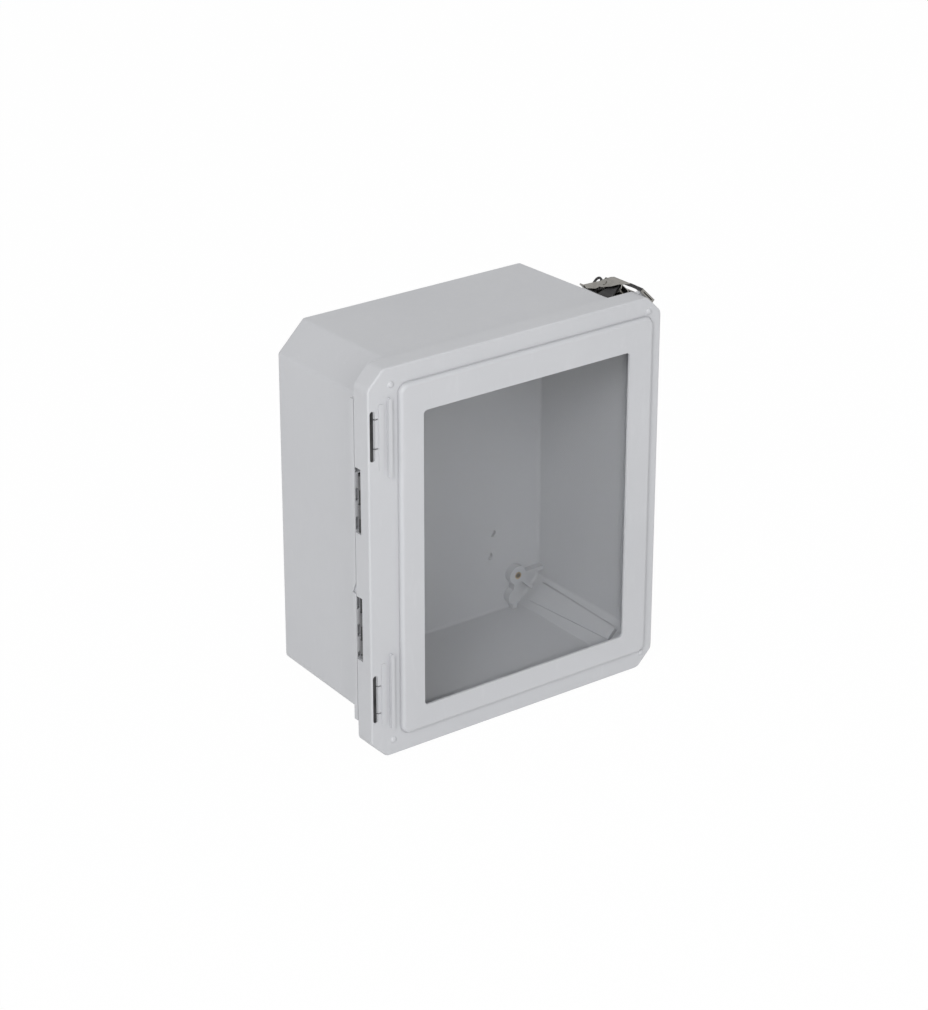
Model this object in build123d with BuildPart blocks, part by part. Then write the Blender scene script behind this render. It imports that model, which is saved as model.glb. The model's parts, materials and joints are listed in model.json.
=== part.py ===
from build123d import *
import os
from math import atan2, degrees, radians, sqrt, tan

os.makedirs("parts", exist_ok=True)

# A wall-mounted moulded enclosure with a hinged window cover. Sizes are in millimetres.
# The cover faces -Y, +X is to the right of a person who faces it and +Z is up.
# The origin is the centre of the four rear inserts, on the flat back face.
# A depth is a distance forward of the back face, so it stands for -Y.

# Box body
body_width = 263.2
body_height = 314.3
body_corner_leg = 24.3
body_rim_depth = 136.3
body_wall = 3.8
body_draft = 1.2
body_edge_radius = 4.0
body_back_radius = 3.0
cavity_edge_radius = 3.0
cavity_back_radius = 2.5

# Hinge ledge on the left wall
ledge_gap = 0.7
ledge_thickness = 4.6
ledge_end_margin = 20.0
ledge_notch_top = -16.0
ledge_notch_bottom = -26.0
ledge_notch_width = 1.5
ledge_skin = 1.0
ledge_pocket_width = 6.2
ledge_pocket_z = ((28.5, 39.5), (52.5, 63.5), (76.5, 81.5))

# Bosses, ribs and rails inside the box
panel_spacing_x = 201.0
panel_spacing_z = 246.0
panel_boss_radius = 8.5
boss_rise = 7.0
wall_spacing_x = 195.0
wall_spacing_z = 285.0
wall_boss_radius = 7.0
boss_neck = 5.6
rib_thickness = 3.0
diagonal_rib_reach = 22.5
tab_width = 4.0
rail_rise = 2.0
rail_back_depth = 15.0
rail_back_width = 18.8
rail_back_shift = 0.6
rail_front_depth = 115.0
rail_front_width = 11.1
rail_front_shift = 1.65
rail_groove_width = 1.4
rail_groove_depth = 1.4
rail_root = 1.0
recess_length = 6.4
recess_width = 4.2
recess_depth = 2.8
recess_places = ((78.5, -80.0, 55.0), (75.7, -100.5, 85.0))

# Brass inserts
panel_insert_radius = 3.2
panel_thread_radius = 2.1
wall_insert_radius = 3.6
wall_thread_radius = 2.5
insert_length = 9.0
insert_well = 0.4

# Cover
cover_overhang_left = 9.95
cover_overhang_right = 7.15
cover_overhang_top = 4.2
cover_overhang_bottom = 5.8
cover_corner_leg = 14.3
cover_plate = 3.2
skirt_depth = 18.5
skirt_wall = 2.8
cover_vertex_radius = 7.0
cover_edge_radius = 1.5
panel_margin_left = 27.6
panel_margin_right = 10.3
panel_margin_top = 15.4
panel_margin_bottom = 16.0
panel_rise = 4.0
panel_corner_radius = 8.0
panel_edge_radius = 3.0
panel_groove_width = 1.0
panel_groove_depth = 0.4

# Window
window_margin_left = 21.2
window_margin_right = 24.5
window_margin_top = 25.2
window_margin_bottom = 20.6
window_corner_radius = 3.5
window_lip = 2.0
rebate_gap = 0.3
pane_overlap = 9.0
pane_thickness = 4.0
seal_thickness = 0.5
seal_set_back = 1.5

# Cover gasket
gasket_thickness = 3.0
gasket_outside = 0.8
gasket_inside = 2.0

# Small moulded features on the cover's front
bump_radius = 2.6
bump_rise = 1.5
bump_x = (-124.3, 129.3)
bump_z = 152.3
slot_x = -140.5
slot_width = 4.8
slot_low = 91.0
slot_high = 132.5
slot_recess = 1.2
slot_gap_width = 2.4
slot_reach = 2.0
slit_length = 3.0
slit_height = 1.1
slit_z = (101.0, 125.0)
low_rib_x = (-134.9, -130.2)
low_rib_z = (82.3, 136.4)
low_rib_rise = 0.8
high_rib_x = (-127.4, -124.1)
high_rib_z = (75.4, 140.5)
high_rib_rise = 3.2
rib_end_radius = 1.5

# Hinges, one above the middle and one below
hinge_inset = 2.3
hinge_axis_back = 14.0
hinge_start = 28.0
knuckle_pitch = 12.0
knuckle_count = 4
knuckle_gap = 0.3
knuckle_radius = 2.1
box_knuckle_radius = 1.7
hinge_pin_radius = 1.0
hinge_pin_head_radius = 1.9
hinge_pin_head = 1.5
leaf_thickness = 1.5
box_leaf_lift = 0.7
box_leaf_rim_gap = 1.3
cover_leaf_front_gap = 1.0
cover_leaf_knuckle_gap = 1.0
hinge_window_low = 27.2
hinge_window_high = 82.0
hinge_window_depth = 7.5
hinge_rivet_z = (34.0, 52.0, 70.0)
hinge_rivet_front = 3.0
stud_front = 5.5
stud_radius = 1.5
stud_proud = 1.2
retainer_radius = 3.0
retainer_thickness = 0.7

# Rivets
rivet_radius = 1.6
rivet_head_radius = 2.6
rivet_head = 0.9
rivet_tail_radius = 2.6
rivet_tail = 1.0
spot_radius = 3.2
hinge_spot = 0.3

# Running and assembly clearance on every pin, rivet and insert
fit_clearance = 0.05

# Latches, on the two right-hand corners. Their sketches lie in the plane through the middle
# of the corner: first the distance forward of the seat's front edge, then the height over it.
seat_skirt_gap = 6.0
seat_length = 43.0
seat_half_width = 10.5
seat_rise = 0.9
seat_root = 4.0
base_thickness = 1.5
base_half_width = 7.0
sheet = 1.2
side_gap = 0.3
lever_pin = (-16.0, 12.8)
lever_pin_radius = 1.5
lever_eye_radius = 5.2
ear_eye_radius = 3.6
ear_foot = (-29.0, -11.0)
hook_pin = (-27.0, 11.3)
hook_pin_radius = 1.3
hook_eye_radius = 3.2
hook_pin_head_radius = 2.2
hook_pin_head = 0.8
lever_tail_end = -52.0
lever_bend = (-24.0, 18.0)
lever_tail_top = (-48.0, 3.4)
lever_wide_end = -33.4
lever_plate_end = -18.0
hook_back = (-29.4, 16.0)
hook_front_top = 19.9
hook_plate_back = 1.5
hook_plate_slope = 2.0
hook_arm_height = 3.6
hook_lip_front = 14.4
hook_lip_drop = 2.6
lip_slot_length = 11.0
lip_slot_height = 0.9
latch_rivet_places = (-32.0, -21.0)
latch_rivet_end = -5.0
padlock_ear_place = -39.5
padlock_ear_radius = 4.0
padlock_ear_height = 11.8
padlock_ear_offset = 3.6
padlock_hole_radius = 2.2
lever_slot = (-48.4, -34.9)
lever_slot_width = 3.6

# Catch lug on the cover under each hook
lug_back = 6.6
lug_front = 12.3
lug_lip = 2.0
lug_half_width = 7.0
lug_gap = 0.5

# Values that follow from the sizes above
slope = tan(radians(body_draft))
corner_shortening = 2 - sqrt(2)
rim_half_width = body_width / 2 + body_rim_depth * slope
rim_half_height = body_height / 2 + body_rim_depth * slope
cover_width = 2 * rim_half_width + cover_overhang_left + cover_overhang_right
cover_height = 2 * rim_half_height + cover_overhang_top + cover_overhang_bottom
cover_shift_x = (cover_overhang_right - cover_overhang_left) / 2
cover_shift_z = (cover_overhang_top - cover_overhang_bottom) / 2
cover_front_depth = body_rim_depth + gasket_thickness + cover_plate
skirt_back_depth = cover_front_depth - skirt_depth
plate_back_depth = cover_front_depth - cover_plate
panel_front_depth = cover_front_depth + panel_rise
panel_back_depth = panel_front_depth - cover_plate
boss_face_depth = body_wall + boss_rise
cover_left = -rim_half_width - cover_overhang_left
panel_width = cover_width - panel_margin_left - panel_margin_right
panel_height = cover_height - panel_margin_top - panel_margin_bottom
panel_shift_x = cover_shift_x + (panel_margin_left - panel_margin_right) / 2
panel_shift_z = cover_shift_z + (panel_margin_bottom - panel_margin_top) / 2
window_width = panel_width - window_margin_left - window_margin_right
window_height = panel_height - window_margin_top - window_margin_bottom
window_shift_x = panel_shift_x + (window_margin_left - window_margin_right) / 2
window_shift_z = panel_shift_z + (window_margin_bottom - window_margin_top) / 2
lip_back_depth = panel_front_depth - window_lip
pane_front_depth = lip_back_depth - seal_thickness
ledge_front_depth = skirt_back_depth - ledge_gap
ledge_half_height = body_height / 2 - ledge_end_margin
skirt_left = cover_left + skirt_wall
hinge_x = cover_left + hinge_inset
hinge_depth = cover_front_depth - hinge_axis_back
cover_leaf_inner_x = hinge_x + knuckle_radius
cover_leaf_outer_x = cover_leaf_inner_x - leaf_thickness
cover_leaf_front = plate_back_depth - cover_leaf_front_gap
cover_leaf_back = hinge_depth + knuckle_radius + cover_leaf_knuckle_gap
stud_depth = hinge_depth + stud_front
box_seat_x = -rim_half_width - box_leaf_lift
box_leaf_x = box_seat_x - leaf_thickness
hinge_length = knuckle_count * knuckle_pitch
hinge_middle = hinge_start + hinge_length / 2
box_leaf_back = hinge_depth - box_knuckle_radius
box_leaf_front = body_rim_depth - box_leaf_rim_gap
hinge_rivet_depth = hinge_depth + hinge_rivet_front
hinge_spot_x = -(body_width / 2 + hinge_rivet_depth * slope - body_wall) - hinge_spot
seat_front_depth = skirt_back_depth - seat_skirt_gap
arm_outer = base_half_width + side_gap + sheet
arm_inner = arm_outer - sheet
ear_inner = base_half_width - sheet
lever_half_width = ear_inner - side_gap
hook_underside = hook_front_top - sheet
bump_sphere = (bump_radius ** 2 + bump_rise ** 2) / (2 * bump_rise)


def at_depth(depth):
    """The plane a distance forward of the back face, drawn with X to the right and Z up."""
    return Plane.XZ.offset(depth)


def cut_corner_outline(depth, half_width, half_height, leg, radius, shift_x=0.0, shift_z=0.0):
    """A rectangle with 45 degree corners and rounded vertices."""
    w, h = half_width, half_height
    points = [
        (w - leg, h), (w, h - leg), (w, leg - h), (w - leg, -h),
        (leg - w, -h), (-w, leg - h), (-w, h - leg), (leg - w, h),
    ]
    with BuildSketch(at_depth(depth)) as outline:
        with BuildLine():
            Polyline(*[(x + shift_x, z + shift_z) for x, z in points], close=True)
        make_face()
        fillet(outline.vertices(), radius)
    return outline.sketch


def body_outline(depth, inset=0.0, radius=body_edge_radius):
    """The body's drafted outline at a depth, moved inward by an inset."""
    spread = depth * slope - inset
    leg = body_corner_leg - inset * corner_shortening
    return cut_corner_outline(depth, body_width / 2 + spread, body_height / 2 + spread, leg, radius)


def box_outline(depth, width, height, radius, shift_x=0.0, shift_z=0.0):
    """A rounded rectangle at a depth."""
    with BuildSketch(at_depth(depth)) as outline:
        with Locations((shift_x, shift_z)):
            RectangleRounded(width, height, radius)
    return outline.sketch


def corner_distance(depth):
    """How far the body's corner face lies from the Y axis at a depth."""
    return (body_width / 2 + body_height / 2 + 2 * depth * slope - body_corner_leg) / sqrt(2)


seat_distance = corner_distance(seat_front_depth) + seat_rise
corner_offset = (body_width - body_height) / 2 / sqrt(2)


def corner_plane(up):
    """The plane through the middle of a right-hand corner, from the latch seat's front edge."""
    return Plane(
        origin=((seat_distance + corner_offset) / sqrt(2), -seat_front_depth,
                up * (seat_distance - corner_offset) / sqrt(2)),
        x_dir=(0, -1, 0),
        z_dir=(-up, 0, 1),
    )


def corner_face_plane(up, place, height):
    """A plane parallel to a right-hand corner face, looking outward, at a height over the seat."""
    return Plane(
        origin=corner_plane(up).from_local_coords((place, height, 0)),
        x_dir=(0, -1, 0),
        z_dir=(1, 0, up),
    )


def corner_strip(depth, start, end, into_wall, out_of_wall, sx, sz):
    """A four-sided section on a corner's inner face, from one offset along the face to another."""
    face = corner_distance(depth) - body_wall
    low = (corner_offset + start) / sqrt(2)
    high = (corner_offset + end) / sqrt(2)
    outer = (face + into_wall) / sqrt(2)
    inner = (face - out_of_wall) / sqrt(2)
    points = [(outer + low, outer - low), (outer + high, outer - high),
              (inner + high, inner - high), (inner + low, inner - low)]
    with BuildSketch(at_depth(depth)) as section:
        with BuildLine():
            Polyline(*[(sx * x, sz * z) for x, z in points], close=True)
        make_face()
    return section.sketch


def straight_rib(start, end, thickness):
    """A straight rib's section from one point to another."""
    run = (end[0] - start[0], end[1] - start[1])
    with BuildSketch() as section:
        with Locations(Location(((start[0] + end[0]) / 2, (start[1] + end[1]) / 2, 0),
                                (0, 0, degrees(atan2(run[1], run[0]))))):
            Rectangle(sqrt(run[0] ** 2 + run[1] ** 2), thickness)
    return section.sketch


def cover_outline(depth, inset=0.0):
    """The cover's outline at a depth, moved inward by an inset."""
    leg = cover_corner_leg - inset * corner_shortening
    return cut_corner_outline(depth, cover_width / 2 - inset, cover_height / 2 - inset, leg,
                              cover_vertex_radius - inset, cover_shift_x, cover_shift_z)


def panel_outline(depth, margin=0.0):
    """The raised panel's outline, grown by a margin."""
    return box_outline(depth, panel_width + 2 * margin, panel_height + 2 * margin,
                       panel_corner_radius + margin, panel_shift_x, panel_shift_z)


def window_outline(depth, margin):
    """The window opening's outline, grown by a margin."""
    return box_outline(depth, window_width + 2 * margin, window_height + 2 * margin,
                       window_corner_radius + margin, window_shift_x, window_shift_z)


# Side profiles of the latch's folded sheet parts
tail_rise = (lever_bend[1] - lever_tail_top[1]) / (lever_bend[0] - lever_tail_top[0])
tail_drop = sheet * sqrt(1 + tail_rise ** 2)
lever_low = hook_pin[1] - hook_eye_radius
front_start = lever_wide_end - sheet
bend_inside = (lever_bend[0] + (tail_drop - sheet) / tail_rise, lever_bend[1] - sheet)


def tail_point(x, drop=0.0):
    """A point on the lever's sloping tail, or a drop below it."""
    return x, lever_bend[1] + (x - lever_bend[0]) * tail_rise - drop


lever_front_points = [
    tail_point(front_start),
    lever_bend,
    (lever_pin[0], lever_bend[1]),
    (lever_pin[0] + lever_eye_radius, lever_pin[1]),
    (lever_pin[0], lever_pin[1] - lever_eye_radius),
    (hook_pin[0], lever_low),
    (front_start, lever_low),
]
lever_plate_points = [
    tail_point(front_start),
    lever_bend,
    (lever_plate_end, lever_bend[1]),
    (lever_plate_end, lever_bend[1] - sheet),
    bend_inside,
    tail_point(front_start, tail_drop),
]
lever_tail_points = [
    (lever_tail_end, lever_tail_top[1] - sheet),
    (lever_tail_end, lever_tail_top[1]),
    lever_tail_top,
    tail_point(lever_wide_end),
    (lever_wide_end, lever_low),
    (lever_tail_top[0], lever_tail_top[1] - sheet),
]
lever_hollow_points = [
    tail_point(front_start - sheet, tail_drop),
    bend_inside,
    (lever_pin[0] + 2 * lever_eye_radius, lever_bend[1] - sheet),
    (lever_pin[0] + 2 * lever_eye_radius, 0),
    (front_start - sheet, 0),
]
tail_hollow_points = [
    tail_point(lever_tail_top[0] + sheet, tail_drop),
    tail_point(front_start, tail_drop),
    (front_start, 0),
    (lever_tail_top[0] + sheet, 0),
]
hook_arm_points = [
    (hook_pin[0] - hook_eye_radius, hook_pin[1]),
    hook_back,
    (hook_plate_back - hook_plate_slope, hook_front_top),
    (hook_lip_front, hook_front_top),
    (hook_lip_front, hook_front_top - hook_lip_drop),
    (hook_plate_back, hook_front_top - hook_lip_drop),
    (lever_pin[0] - hook_plate_slope, hook_front_top - hook_arm_height),
    (hook_pin[0] + hook_eye_radius, hook_pin[1]),
]
hook_inside_points = [
    (hook_pin[0] - 2 * hook_eye_radius, 0),
    (hook_pin[0] - 2 * hook_eye_radius, hook_front_top + sheet),
    (hook_plate_back, hook_front_top + sheet),
    (hook_plate_back, hook_underside),
    (hook_lip_front - sheet, hook_underside),
    (hook_lip_front - sheet, 0),
]


# Box body
with BuildPart() as cavity_core:
    loft([
        body_outline(body_wall, body_wall, cavity_edge_radius),
        body_outline(body_rim_depth, body_wall, cavity_edge_radius),
    ])
    fillet(cavity_core.faces().sort_by(Axis.Y)[-1].edges(), cavity_back_radius)

rail_ends = ((rail_back_depth, rail_back_shift, rail_back_width),
             (rail_front_depth, rail_front_shift, rail_front_width))
rail_groove_height = rail_rise + rail_root

with BuildPart() as corner_rails:
    for sx in (1, -1):
        for sz in (1, -1):
            loft([
                corner_strip(depth, shift - width / 2, shift + width / 2, rail_root, rail_rise, sx, sz)
                for depth, shift, width in rail_ends
            ])

with BuildPart() as rail_grooves:
    for sx in (1, -1):
        for sz in (1, -1):
            loft([
                corner_strip(depth, shift + width / 2, shift + width / 2 + rail_groove_width,
                             rail_groove_depth, rail_groove_height, sx, sz)
                for depth, shift, width in rail_ends
            ])
            # The groove turns across the front end of the rail
            extrude(corner_strip(rail_front_depth, rail_front_shift - rail_front_width / 2,
                                 rail_front_shift + rail_front_width / 2 + rail_groove_width,
                                 rail_groove_depth, rail_groove_height, sx, sz),
                    amount=rail_groove_width)

# Bosses for the inner panel and the rear inserts, with their ribs
with BuildPart() as bosses:
    for sx in (1, -1):
        for sz in (1, -1):
            boss = (sx * panel_spacing_x / 2, sz * panel_spacing_z / 2)
            rear = (sx * wall_spacing_x / 2, sz * wall_spacing_z / 2)
            side_wall = (sx * (body_width / 2 - body_wall / 2), boss[1])
            end_wall = (rear[0], sz * (body_height / 2 - body_wall / 2))
            reach = diagonal_rib_reach / sqrt(2)
            corner = (boss[0] + sx * reach, boss[1] + sz * reach)
            with BuildSketch(at_depth(body_wall / 2)):
                with Locations(boss):
                    Circle(panel_boss_radius)
                with Locations(rear):
                    Circle(wall_boss_radius)
                add(straight_rib(boss, rear, boss_neck))
                add(straight_rib(boss, side_wall, rib_thickness))
                add(straight_rib(boss, corner, rib_thickness))
                add(straight_rib(rear, end_wall, tab_width))
            extrude(amount=boss_face_depth - body_wall / 2)

# Holes for the inserts and the rivets, with a flat spot inside for each rivet's tail
with BuildPart() as body_holes:
    with BuildSketch(at_depth(boss_face_depth)):
        with GridLocations(panel_spacing_x, panel_spacing_z, 2, 2):
            Circle(panel_insert_radius + fit_clearance)
    extrude(amount=-insert_length - insert_well)
    with BuildSketch(at_depth(0)):
        with GridLocations(wall_spacing_x, wall_spacing_z, 2, 2):
            Circle(wall_insert_radius + fit_clearance)
    extrude(amount=insert_length + insert_well)
    with BuildSketch(Plane.YZ.offset(box_seat_x)):
        with Locations(*[(-hinge_rivet_depth, up * z) for up in (1, -1) for z in hinge_rivet_z]):
            Circle(rivet_radius + fit_clearance)
    extrude(amount=2 * body_wall)
    with BuildSketch(Plane.YZ.offset(hinge_spot_x)):
        with Locations(*[(-hinge_rivet_depth, up * z) for up in (1, -1) for z in hinge_rivet_z]):
            Circle(spot_radius)
    extrude(amount=body_wall)
    for up in (1, -1):
        for place in latch_rivet_places:
            with BuildSketch(corner_face_plane(up, place, 0)):
                Circle(rivet_radius + fit_clearance)
            extrude(amount=latch_rivet_end)
    # Two small recesses in the back wall
    for x, z, turn in recess_places:
        with BuildSketch(at_depth(body_wall + recess_depth)):
            with Locations((x, z)):
                SlotOverall(recess_length, recess_width, rotation=turn)
        extrude(amount=-2 * recess_depth)

with BuildPart() as enclosure_body:
    loft([body_outline(0), body_outline(body_rim_depth)])
    fillet(enclosure_body.faces().sort_by(Axis.Y)[-1].edges(), body_back_radius)
    # Ledge behind the cover's hinge edge, with a small notch
    ledge_right = -body_width / 2
    with BuildSketch(at_depth(ledge_front_depth - ledge_thickness)):
        with Locations(((cover_left + ledge_right) / 2, 0)):
            Rectangle(ledge_right - cover_left, 2 * ledge_half_height)
    extrude(amount=ledge_thickness)
    with BuildSketch(Plane.YZ.offset(cover_left)):
        with BuildLine():
            Polyline(
                (ledge_thickness - ledge_front_depth, ledge_notch_bottom),
                (-ledge_front_depth, ledge_notch_bottom),
                (-ledge_front_depth, ledge_notch_top),
                close=True,
            )
        make_face()
    extrude(amount=ledge_notch_width, mode=Mode.SUBTRACT)
    # Blind pockets behind the hinges' knuckles
    with BuildSketch(at_depth(ledge_front_depth)):
        for low, high in ledge_pocket_z:
            with Locations(*[(cover_left + ledge_skin + ledge_pocket_width / 2, up * (low + high) / 2)
                             for up in (1, -1)]):
                Rectangle(ledge_pocket_width, high - low)
    extrude(amount=ledge_skin - ledge_thickness, mode=Mode.SUBTRACT)
    # Flat seats for the hinge leaves
    with BuildSketch(Plane.YZ.offset(box_seat_x)):
        with Locations(*[(-(box_leaf_front + box_leaf_back) / 2, z)
                         for z in (hinge_middle, -hinge_middle)]):
            Rectangle(box_leaf_front - box_leaf_back, hinge_length)
    extrude(amount=body_wall / 2 + box_leaf_lift)
    # Flat seats for the latches
    for up in (1, -1):
        with BuildSketch(corner_plane(up)):
            with Locations((-seat_length / 2, -seat_root / 2)):
                Rectangle(seat_length, seat_root)
        extrude(amount=seat_half_width, both=True)
    add(cavity_core.part, mode=Mode.SUBTRACT)
    add(corner_rails.part)
    add(rail_grooves.part, mode=Mode.SUBTRACT)
    add(bosses.part)
    add(body_holes.part, mode=Mode.SUBTRACT)
enclosure_body.part.label = "enclosure_body"
export_step(enclosure_body.part, "parts/enclosure_body.step")

# Brass inserts
with BuildPart() as panel_inserts:
    with Locations(Plane((0, -boss_face_depth, 0), x_dir=(1, 0, 0), z_dir=(0, -1, 0))):
        with GridLocations(panel_spacing_x, panel_spacing_z, 2, 2):
            Cylinder(panel_insert_radius, insert_length, align=(Align.CENTER, Align.CENTER, Align.MAX))
            Hole(panel_thread_radius, insert_length)
panel_inserts.part.label = "panel_inserts"
export_step(panel_inserts.part, "parts/panel_inserts.step")

with BuildPart() as wall_inserts:
    with Locations(Plane((0, 0, 0), x_dir=(1, 0, 0), z_dir=(0, 1, 0))):
        with GridLocations(wall_spacing_x, wall_spacing_z, 2, 2):
            Cylinder(wall_insert_radius, insert_length, align=(Align.CENTER, Align.CENTER, Align.MAX))
            Hole(wall_thread_radius, insert_length)
wall_inserts.part.label = "wall_inserts"
export_step(wall_inserts.part, "parts/wall_inserts.step")

# Cover
with BuildPart() as cover:
    extrude(cover_outline(skirt_back_depth), amount=skirt_depth)
    fillet(cover.faces().sort_by(Axis.Y)[0].edges(), cover_edge_radius)
    # Raised panel with a narrow groove round its foot
    extrude(panel_outline(cover_front_depth - panel_groove_depth, panel_groove_width),
            amount=panel_groove_depth, mode=Mode.SUBTRACT)
    extrude(panel_outline(plate_back_depth), amount=panel_front_depth - plate_back_depth)
    fillet(cover.faces().sort_by(Axis.Y)[0].edges(), panel_edge_radius)
    # Hollow inside of the pan and of the raised panel
    extrude(cover_outline(skirt_back_depth, skirt_wall), amount=plate_back_depth - skirt_back_depth,
            mode=Mode.SUBTRACT)
    extrude(panel_outline(plate_back_depth, -cover_plate), amount=panel_back_depth - plate_back_depth,
            mode=Mode.SUBTRACT)
    # Window opening, with a rebate behind its lip for the pane
    extrude(window_outline(panel_back_depth, 0), amount=cover_plate, mode=Mode.SUBTRACT)
    extrude(window_outline(panel_back_depth, pane_overlap + rebate_gap),
            amount=lip_back_depth - panel_back_depth, mode=Mode.SUBTRACT)
    # Round bumps at the corners
    with Locations(*[at_depth(cover_front_depth + bump_rise - bump_sphere).from_local_coords((x, z))
                     for x in bump_x for z in (bump_z, -bump_z)]):
        Sphere(bump_sphere, arc_size1=0, rotation=(90, 0, 0))
    for up in (1, -1):
        # Two finger ribs beside each slot
        for rib_x, rib_z, rise in ((low_rib_x, low_rib_z, low_rib_rise),
                                   (high_rib_x, high_rib_z, high_rib_rise)):
            with BuildSketch(at_depth(cover_front_depth - cover_plate / 2)):
                with Locations((sum(rib_x) / 2, up * sum(rib_z) / 2)):
                    RectangleRounded(rib_x[1] - rib_x[0], rib_z[1] - rib_z[0], rib_end_radius)
            extrude(amount=rise + cover_plate / 2)
        # Shallow slot with a deep gap at its left side, and two short slits
        slot_middle_z = up * (slot_low + slot_high) / 2
        with BuildSketch(at_depth(cover_front_depth)):
            with Locations((slot_x, slot_middle_z)):
                SlotOverall(slot_high - slot_low, slot_width, rotation=90)
        extrude(amount=-slot_recess, mode=Mode.SUBTRACT)
        with BuildSketch(at_depth(cover_front_depth)):
            with Locations((slot_x - slot_width / 2 + slot_gap_width / 2, slot_middle_z)):
                SlotOverall(slot_high - slot_low - slot_width / 2, slot_gap_width, rotation=90)
            with Locations(*[(slot_x + slot_width / 2, up * z) for z in slit_z]):
                Rectangle(2 * slit_length, slit_height)
        extrude(amount=-cover_plate - slot_reach, mode=Mode.SUBTRACT)
        # Opening in the skirt's edge that the hinge shows through
        with BuildSketch(Plane.YZ.offset(cover_left)):
            with Locations((-skirt_back_depth - hinge_window_depth / 2,
                            up * (hinge_window_low + hinge_window_high) / 2)):
                Rectangle(hinge_window_depth, hinge_window_high - hinge_window_low)
        extrude(amount=skirt_wall, mode=Mode.SUBTRACT)
        # Seat and studs that hold the hinge leaf
        with BuildSketch(Plane.YZ.offset(skirt_left)):
            with Locations((-(cover_leaf_front + cover_leaf_back) / 2, up * hinge_middle)):
                Rectangle(cover_leaf_front - cover_leaf_back, hinge_length)
        extrude(amount=cover_leaf_outer_x - skirt_left)
        with BuildSketch(Plane.YZ.offset(skirt_left)):
            with Locations(*[(-stud_depth, up * z) for z in hinge_rivet_z]):
                Circle(stud_radius)
        extrude(amount=cover_leaf_inner_x + stud_proud - skirt_left)
        # Catch lug under the hook
        with BuildSketch(corner_plane(up)):
            with BuildLine():
                corner_x = cover_width / 2 + cover_shift_x
                corner_z = cover_height / 2 + up * cover_shift_z
                lug_foot = (corner_x + corner_z - cover_corner_leg) / sqrt(2) - seat_distance
                lug_top = hook_front_top - hook_lip_drop - lug_gap
                Polyline(
                    (lug_back, lug_foot - skirt_wall / 2),
                    (lug_front, lug_foot - skirt_wall / 2),
                    (lug_front, lug_top),
                    (lug_front - lug_lip, lug_top),
                    (lug_back, lug_foot),
                    close=True,
                )
            make_face()
        extrude(amount=lug_half_width, both=True)
cover.part.label = "cover"
export_step(cover.part, "parts/cover.step")

# Window pane and its seal
with BuildPart() as window_seal:
    extrude(window_outline(pane_front_depth, pane_overlap), amount=seal_thickness)
    extrude(window_outline(pane_front_depth, seal_set_back), amount=seal_thickness,
            mode=Mode.SUBTRACT)
window_seal.part.label = "window_seal"
export_step(window_seal.part, "parts/window_seal.step")

with BuildPart() as window_pane:
    extrude(window_outline(pane_front_depth - pane_thickness, pane_overlap), amount=pane_thickness)
window_pane.part.label = "window_pane"
export_step(window_pane.part, "parts/window_pane.step")

# Gasket between the cover and the body's rim
with BuildPart() as cover_gasket:
    extrude(body_outline(body_rim_depth, -gasket_outside), amount=gasket_thickness)
    extrude(body_outline(body_rim_depth, body_wall + gasket_inside), amount=gasket_thickness,
            mode=Mode.SUBTRACT)
cover_gasket.part.label = "cover_gasket"
export_step(cover_gasket.part, "parts/cover_gasket.step")

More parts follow.
